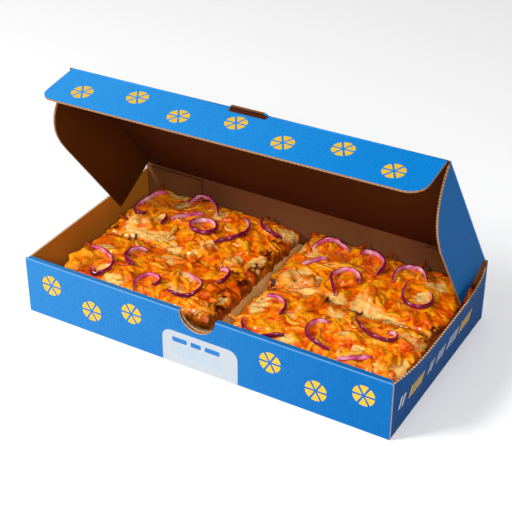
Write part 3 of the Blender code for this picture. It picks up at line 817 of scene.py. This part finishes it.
sauceChicken = foodMaterial("sauceCoatedChicken", 0.45)
chunkNodes = sorted(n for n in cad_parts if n.startswith("chunk_"))
chunks = bmesh.new()
chunkLayers = {key: chunks.verts.layers.float.new(key) for key in ("tone", "toast", "cheese", "hollowShade")}
dice = random.Random(7)
for number, name in enumerate(chunkNodes):
    lump = mergedCopy(name)
    bmesh.ops.subdivide_edges(lump, edges=lump.edges, cuts=5, use_grid_fill=True, smooth=0.9)
    bmesh.ops.triangulate(lump, faces=lump.faces)
    lump.normal_update()
    highZ = max(v.co.z for v in lump.verts)
    swings = []
    for v in lump.verts:
        p = v.co.copy()
        piled, tone = shredPile(p.x, p.y, 31.0 + number)
        swing = (0.7 * (piled - 1.6) + 1.1 * noise.noise(p / 0.005)
                 + 1.0 * noise.noise(p / 0.0026) + 0.5 * noise.noise(p / 0.0014))
        swings.append((swing, tone))
        v.co += v.normal * (swing - 0.2) * mm
        v.co.z = min(v.co.z - 0.0012, highZ + 0.0006)
    mesh = bpy.data.meshes.new("lump")
    lump.to_mesh(mesh)
    lump.free()
    before = len(chunks.verts)
    chunks.from_mesh(mesh)
    bpy.data.meshes.remove(mesh)
    own = 0.45 if number == 4 else dice.uniform(0.1, 0.45)
    chunks.verts.ensure_lookup_table()
    for v, (swing, tone) in zip(chunks.verts[before:], swings):
        # painted light and shade: raised bits of a chunk get a lighter tone and sunken bits darken as hollows
        v[chunkLayers["tone"]] = own + 0.5 * tone + 0.15 * shareOut(swing, 0, 1.5)
        v[chunkLayers["hollowShade"]] = 0.9 * shareOut(-swing, 0.2, 1.6)
        mottle = shareOut(noise.noise(v.co / 0.0045), -0.25, 0.2)
        v[chunkLayers["cheese"]] = (0.0 if number == 4 else 0.8) * poolAmount(v.co.x, v.co.y) * mottle
        singed = 0.6 * charAmount(v.co.x, v.co.y) * (0.6 + noise.noise(v.co / 0.003))
        v[chunkLayers["toast"]] = max(singed, 0.5 * shareOut(noise.noise(v.co / 0.007), 0.1, 0.5))
keepOpen(chunks)
chunkPiece = addPiece("chickenChunks", chunks, sauceChicken, "tray")
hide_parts(*chunkNodes)


onions = (  # x, y, heading, length, bend at the start, middle and end, width and height; mm and degrees
    (-129, 69, -177, 55, 7.8, -8.2, 14.8, 2.2, 4.0),
    (-105, 69, 103, 48, -7.4, -3.4, 1.2, 2.6, 4.2),
    (-104, 37, 64, 30, -1.2, -1.0, -0.8, 1.6, 4.0),
    (-111, 41, -51, 16, -3.1, -3.0, -3.0, 2.2, 4.2),
    (-73, 50, 180, 67, 5.38, 5.38, 5.38, 3.0, 4.4),
    (-50, 68, -28, 54, -1.8, -5.1, 0.7, 2.4, 4.4),
    (-34, 72, -93, 32, 6.3, 3.4, -1.6, 2.4, 4.4),
    (-95, -11, -180, 43, 5.8, 4.6, 0.9, 3.4, 4.2),
    (-137, -30, 2, 70, -1.7, 0.7, -12.2, 2.0, 4.2),
    (-72, -65, 131, 45, -3.1, -3.1, -13.5, 2.2, 4.0),
    (-28, -8, 38, 27, -10.0, -6.1, -2.8, 2.4, 4.2),
    (-49, -25, -37, 65, 4.0, -11.6, -0.1, 1.6, 4.0),
    (20, 58, 89, 40, -3.4, -4.2, -2.7, 2.2, 4.0),
    (24, 33, 52, 23, 1.9, -0.5, -3.6, 4.6, 1.8),
    (60, 66, 85, 48, -6.9, -4.5, 0.2, 2.6, 4.4),
    (77, 30, 100, 65, 2.5, 10.5, -4.3, 2.4, 4.2),
    (98, 45, 97, 56, 3.2, -13.3, 1.8, 2.4, 4.2),
    (109, 49, -68, 65, -3.1, 10.5, 2.3, 2.2, 4.2),
    (22, -22, 35, 36, -4.4, -4.5, -2.5, 2.4, 4.2),
    (22, -55, -91, 44, 5.9, 3.4, -1.5, 2.4, 4.0),
    (81, -30, -200, 55, 7.4, 2.6, 0.9, 2.2, 4.2),
    (95, -14, -61, 58, 4.5, -8.1, 21.1, 1.8, 4.0),
    (105, -64, 33, 26, -0.2, -0.2, -0.2, 4.6, 1.8),
)


def onionPath(x, y, heading, length, bends, steps):
    here = Vector((x, y)) * mm
    angle = math.radians(heading)
    path = [(here.copy(), angle)]
    pieces = 6
    step = length / steps / pieces
    for i in range(steps * pieces):
        t = (i + 0.5) / (steps * pieces)
        bend = (1 - t) ** 2 * bends[0] + 2 * t * (1 - t) * bends[1] + t * t * bends[2]
        middle = angle + math.radians(bend) * step / 2
        here = here + Vector((math.cos(middle), math.sin(middle))) * step * mm
        angle += math.radians(bend) * step
        if (i + 1) % pieces == 0:
            path.append((here.copy(), angle))
    return path


onionPaths = [onionPath(*o[:4], o[4:7], max(12, round(o[3] / 1.4))) for o in onions]
onionPoints = [p for path in onionPaths for p, _ in path]


def shredShape():
    # a rod of seven sides and seven lengths, closed at both ends
    bm = bmesh.new()
    bmesh.ops.create_cone(bm, cap_ends=True, segments=7, radius1=0.5, radius2=0.5, depth=1.0)
    bmesh.ops.rotate(bm, verts=bm.verts, cent=(0, 0, 0), matrix=Matrix.Rotation(math.pi / 2, 3, "Y"))
    rods = [e for e in bm.edges if abs(e.verts[0].co.x - e.verts[1].co.x) > 0.5]
    bmesh.ops.subdivide_edges(bm, edges=rods, cuts=6)
    mesh = bpy.data.meshes.new("shredShape")
    bm.to_mesh(mesh)
    bm.free()
    return mesh


shreds = bmesh.new()
shredLayers = {key: shreds.verts.layers.float.new(key) for key in ("tone", "toast", "cheese", "hollowShade")}
shredMesh = shredShape()


def addShred(x, y, length, width, height, turn, bend, tone, toast, cheese=0.0, lift=0.0, tilt=0.0):
    before = len(shreds.verts)
    shreds.from_mesh(shredMesh)
    shreds.verts.ensure_lookup_table()
    seed = x * 900 + y * 700
    for v in shreds.verts[before:]:
        t, a, b = v.co.x, v.co.y, v.co.z
        taper = 1 - (abs(t) * 2) ** 3 * 0.65
        angle = turn + bend * t
        along = Vector((math.cos(angle), math.sin(angle)))
        across = Vector((-along.y, along.x))
        ragged = 1 + 0.75 * noise.noise(Vector((t * 7, a * 2.5, b * 2.5 + seed)))
        middle = Vector((x, y)) + along * t * length
        place = middle + across * a * width * taper * ragged
        level = heightAt(middle.x, middle.y, topSurfaces) or heightAt(x, y, topSurfaces)
        rise = b * taper * ragged
        place.x, place.y = insideTray(place.x, place.y)
        v.co = (place.x, place.y, level + (rise + 0.12) * height + lift + tilt * (t + 0.5) * length)
        # painted light and shade: a shred's top gets a lighter tone and its underside darkens as a hollow
        v[shredLayers["tone"]] = tone + 0.2 * rise
        v[shredLayers["hollowShade"]] = 0.8 * shareOut(-rise, -0.1, 0.45)
        v[shredLayers["toast"]] = toast
        v[shredLayers["cheese"]] = cheese


for number, sliceName in enumerate(sliceNames):
    low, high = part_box(f"slice_{sliceName}_topping")
    for count, *sizes in chicken.values():
        for _ in range(count):
            x = dice.uniform(low[0] + 0.004, high[0] - 0.004)
            y = dice.uniform(low[1] + 0.004, high[1] - 0.004)
            if heightAt(x, y, topSurfaces) is None or dice.random() < 0.85 * poolAmount(x, y):
                continue
            if min((Vector((x, y)) - p).length for p in onionPoints) < clearOfOnions:
                continue
            length, width, height = [dice.uniform(*size) * mm for size in sizes]
            turn = 3.0 * wave(x, y, 0.05, 3.3) + dice.gauss(0, 0.8) + 1.2
            rim = min(x - low[0], high[0] - x, y - low[1], high[1] - y) / mm
            toast = max(0.7 * (1 - smoothStep(2, 10, rim)), charAmount(x, y)) * dice.random()
            tone = dice.choice((0.1, 0.3, 0.5, 0.6, 0.75, 0.95)) + dice.uniform(-0.1, 0.1)
            addShred(x, y, length, width, height, turn, dice.gauss(0, 0.9), tone, toast,
                     0.35 * (dice.random() < 0.12))
strips = (  # x, y, length, width in mm, heading in degrees, bend and tone
    (58, -20, 34, 5.5, 66, -0.5, 0.62), (51, -26, 20, 4.5, 55, 0.4, 0.42),
    (139, -50, 22, 4.8, -74, 0.3, 0.6), (142, -38, 23, 4.6, -52, -0.4, 0.66),
    (151, -35, 13, 4.0, -46, 0.2, 0.5), (129, -59, 17, 4.6, -57, 0.3, 0.55),
    (96, -19, 20, 4.4, -4, 0.5, 0.7), (88, -28, 14, 4.2, -36, -0.4, 0.6), (58, 46, 29, 4.8, 4, 0.4, 0.75),
    (95, 20, 28, 5.5, -46, 0.3, 0.85), (130, 11, 13, 5.5, -34, -0.6, 0.3),
    (141, 14, 17, 5.5, -51, 0.5, 0.3), (125, 74, 11, 5.5, 18, 0.5, 0.15),
    (59, -13, 24, 5.5, 44, -0.3, 0.25), (-51, -38, 23, 5.0, -64, 0.4, 0.75),
    (-41, -36, 17, 4.6, -44, -0.5, 0.7), (-75, -28, 16, 5.0, 2, 0.4, 0.8),
    (-27, 31, 17, 5.0, -56, 0.3, 0.8), (-46, 48, 14, 5.0, -42, 0.6, 0.75),
    (-87, 4, 11, 4.0, -16, 0.4, 0.95), (-17, -59, 27, 6.0, 0, 0.5, 0.6), (-30, -52, 18, 5.0, 17, -0.5, 0.7),
    (-55, 4, 10, 4.5, 58, 0.7, 0.95), (-13, -44, 11, 5.0, -24, 0.3, 0.4),
)
for x, y, length, width, heading, bend, tone in strips:
    addShred(x * mm, y * mm, length * mm, width * mm, 0.0032, math.radians(heading), bend, tone,
             0.6 * charAmount(x * mm, y * mm), 0, 0.0004)
for x, y, turn in ((56, 78, 60), (81, 79, 100), (109, 78, 80), (139, 76, 40), (-139, 77, 130),
                   (-98, 78, 70), (-33, 78, 95), (30, 76, 110), (-141, 20, 190), (-140, -30, 175)):
    # crisp torn points that stand up along the rims
    addShred(x * mm, y * mm, 0.010, 0.0035, 0.0028, math.radians(turn), 0.4, 0.15, 0.8, 0, 0.0, 0.45)
keepOpen(shreds)
shredPiece = addPiece("chickenShreds", shreds, sauceChicken, "tray")


def surfaceOf(piece):
    corners = [tuple(v.co) for v in piece.data.vertices]
    return BVHTree.FromPolygons(corners, [tuple(f.vertices) for f in piece.data.polygons])


allTops = topSurfaces + [surfaceOf(piece) for piece in (chunkPiece, shredPiece)]
print("chicken finished")


# red onion slivers: purple skin on the outside of the curl, pale pink flesh inside

onionLook = {"skin": "#ac1450", "skinDeep": "#6c0a34", "flesh": "#ffe2e4", "blush": "#d85890"}


def onionMaterial():
    # raw red onion: juicy, smooth and waxy, fine lines along its length
    material, tree, shader = newMaterial("redOnionFlesh", {
        "Roughness": 0.18, "IOR": 1.42, "Subsurface Weight": 0.1, "Subsurface Scale": 0.002,
        "Subsurface Radius": (1.0, 0.4, 0.6), "Coat Weight": 0.6, "Coat Roughness": 0.08})
    where = addNode(tree, "TexCoord").outputs["Object"]
    skin = vertexValue(tree, "skin")
    patch = speckle(tree, where, 180.0, 3.0)
    share = calc(tree, "MULTIPLY_ADD", patch, 0.7, -0.35)
    share = calc(tree, "ADD", share, skin, clamp=True)
    stops = ((0.0, "flesh"), (0.4, "blush"), (0.65, "skin"), (1.0, "skinDeep"))
    layer = colourRamp(tree, share, [(position, onionLook[key]) for position, key in stops])
    tree.links.new(layer, shader.inputs["Base Color"])
    return material


rawOnion = onionMaterial()
onionMesh = bmesh.new()
skinLayer = onionMesh.verts.layers.float.new("skin")
sides = 12
for spec, path in zip(onions, onionPaths):
    width, height = spec[7] * mm, spec[8] * mm
    flatStrip = height < width
    turning = path[-1][1] - path[0][1]
    outer = -1 if turning > 0 else 1
    whole = abs(turning) > 2 * math.pi
    grounds = [heightAt(p.x, p.y, allTops) for p, _ in path]
    known = [g for g in grounds if g]
    grounds = [g or min(known) for g in grounds]
    smooth = []
    for i in range(len(grounds)):
        near = grounds[max(0, i - 4):i + 5]
        smooth.append((sum(near) / len(near) + max(near)) / 2)
    loops = []
    for i, (p, angle) in enumerate(path[:-1] if whole else path):
        t = i / (len(path) - 1)
        across = Vector((-math.sin(angle), math.cos(angle), 0))
        taper = 1.0 if whole else min(1, 0.55 + 3 * min(t, 1 - t) * 1.2)
        loop = bmesh.ops.create_circle(onionMesh, cap_ends=False, segments=sides, radius=1.0)["verts"]
        for v in loop:
            a, b = v.co.x, v.co.y
            # a layer of the bulb: square-shouldered, bulging outward
            side = math.copysign(abs(a) ** 0.7, a)
            rise = math.copysign(abs(b) ** 0.7, b)
            bulge = 0.18 * (1 - rise * rise) * outer
            middle = smooth[i] + height / 2 - 0.0004
            side += 0.22 * noise.noise(Vector((p.x / 0.006, p.y / 0.006, rise)))
            v.co = (Vector((p.x, p.y, middle)) + across * (side + bulge) * width / 2 * taper
                    + Vector((0, 0, rise * height / 2 * taper)))
            if flatStrip:
                mark = 0.35 * noise.noise(Vector((p.x / 0.008, p.y / 0.008, 2.0)))
                v[skinLayer] = 0.3 + mark + 0.2 * abs(side)
            else:
                mark = 0.3 * noise.noise(Vector((p.x / 0.012, p.y / 0.012, 5.0)))
                v[skinLayer] = 0.3 + 0.7 * smoothStep(-0.9, 0.4, side * outer) - 0.08 * max(rise, 0) + mark
        loops.append(loop)
    if whole:
        loops.append(loops[0])
    for lower, upper in zip(loops, loops[1:]):
        for k in range(sides):
            j = (k + 1) % sides
            onionMesh.faces.new((lower[k], lower[j], upper[j], upper[k]))
    if not whole:
        onionMesh.faces.new(loops[0][::-1])
        onionMesh.faces.new(loops[-1])
keepOpen(onionMesh)
onionPiece = addPiece("redOnionSlivers", onionMesh, rawOnion, "tray")
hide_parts(*sorted(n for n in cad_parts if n.startswith("onion_")))
print("onions finished")


# loose grains: ground pepper and flakes of red chilli

def grains(name, count, smallest, largest, flatness, hexColour, seed):
    pepper = random.Random(seed)
    bm = bmesh.new()
    while count:
        sliceName = pepper.choice(sliceNames)
        low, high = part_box(f"slice_{sliceName}_topping")
        x = pepper.uniform(low[0] + 0.003, high[0] - 0.003)
        y = pepper.uniform(low[1] + 0.003, high[1] - 0.003)
        z = heightAt(x, y, allTops)
        if z is None:
            continue
        count -= 1
        size = pepper.uniform(smallest, largest) * mm
        grain = bmesh.ops.create_icosphere(bm, subdivisions=1, radius=size / 2)["verts"]
        spin = Matrix.Rotation(pepper.uniform(0, 6.3), 3, "Z") @ Matrix.Rotation(pepper.gauss(0, 0.5), 3, "X")
        for v in grain:
            v.co *= pepper.uniform(0.75, 1.15)
            v.co.z *= flatness
            v.co.x *= 1.5
            v.co = spin @ v.co + Vector((x, y, z + size * flatness * 0.2))
    material, tree, shader = newMaterial(name + "Flakes", {"Roughness": 0.5})
    where = addNode(tree, "TexCoord").outputs["Object"]
    patch = speckle(tree, where, 300.0)
    colour = mixed(tree, patch, dimmed(hexColour, 0.4), linear(hexColour))
    tree.links.new(colour, shader.inputs["Base Color"])
    addPiece(name, bm, material, "tray")


grains("groundPepper", 110, 0.5, 1.0, 0.8, "#2c1208", 3)
grains("redChilli", 46, 1.0, 2.2, 0.35, "#b81408", 5)
print("grains finished")


# floor, light and camera

studio = {
    "lens": 95.26, "place": (0.44388, -0.77454, 0.63520), "turn": (57.017, -0.184, 29.925),
    "worldStrength": 0.075, "floorShade": (0.88, 0.88, 0.88, 1), "floorGlow": 0.16,
}


def areaLight(name, place, target, size, power, colour="#ffffff"):
    light = bpy.data.lights.new(name, "AREA")
    light.shape = "RECTANGLE"
    light.size, light.size_y = size
    light.energy = power
    light.color = linear(colour)[:3]
    lamp = bpy.data.objects.new(name, light)
    lamp.location = place
    lamp.rotation_euler = (Vector(target) - Vector(place)).to_track_quat("-Z", "Y").to_euler()
    bpy.context.collection.objects.link(lamp)


scene = bpy.context.scene
scene.view_settings.view_transform = "Standard"
world = bpy.data.worlds.new("studioWorld")
world.use_nodes = True
world.node_tree.nodes["Background"].inputs[0].default_value = (1, 1, 1, 1)
world.node_tree.nodes["Background"].inputs[1].default_value = studio["worldStrength"]
scene.world = world
areaLight("keyLight", (-1.26, -1.28, 1.38), (0, 0, 0.05), (0.6, 0.6), 40)
areaLight("fillLight", (1.05, -1.62, 1.34), (0, 0, 0.05), (0.7, 0.7), 29)
areaLight("topLight", (0.1, 0.2, 3.2), (0.05, 0.1, 0), (2.6, 2.6), 30)

floorMesh = bmesh.new()
bmesh.ops.create_grid(floorMesh, x_segments=1, y_segments=1, size=4.0)
floorMaterial, floorTree, floorShader = newMaterial("paleStudioFloor", {
    "Base Color": studio["floorShade"], "Roughness": 0.9, "Specular IOR Level": 0.0,
    "Emission Color": (1, 1, 1, 1), "Emission Strength": studio["floorGlow"]})
floorData = bpy.data.meshes.new("studioFloor")
floorMesh.to_mesh(floorData)
floorMesh.free()
floorData.materials.append(floorMaterial)
floor = bpy.data.objects.new("studioFloor", floorData)
scene.collection.objects.link(floor)

cameraData = bpy.data.cameras.new("camera")
cameraData.lens = studio["lens"]
camera = bpy.data.objects.new("camera", cameraData)
camera.location = studio["place"]
camera.rotation_euler = [math.radians(a) for a in studio["turn"]]
scene.collection.objects.link(camera)
scene.camera = camera
print("studio finished")
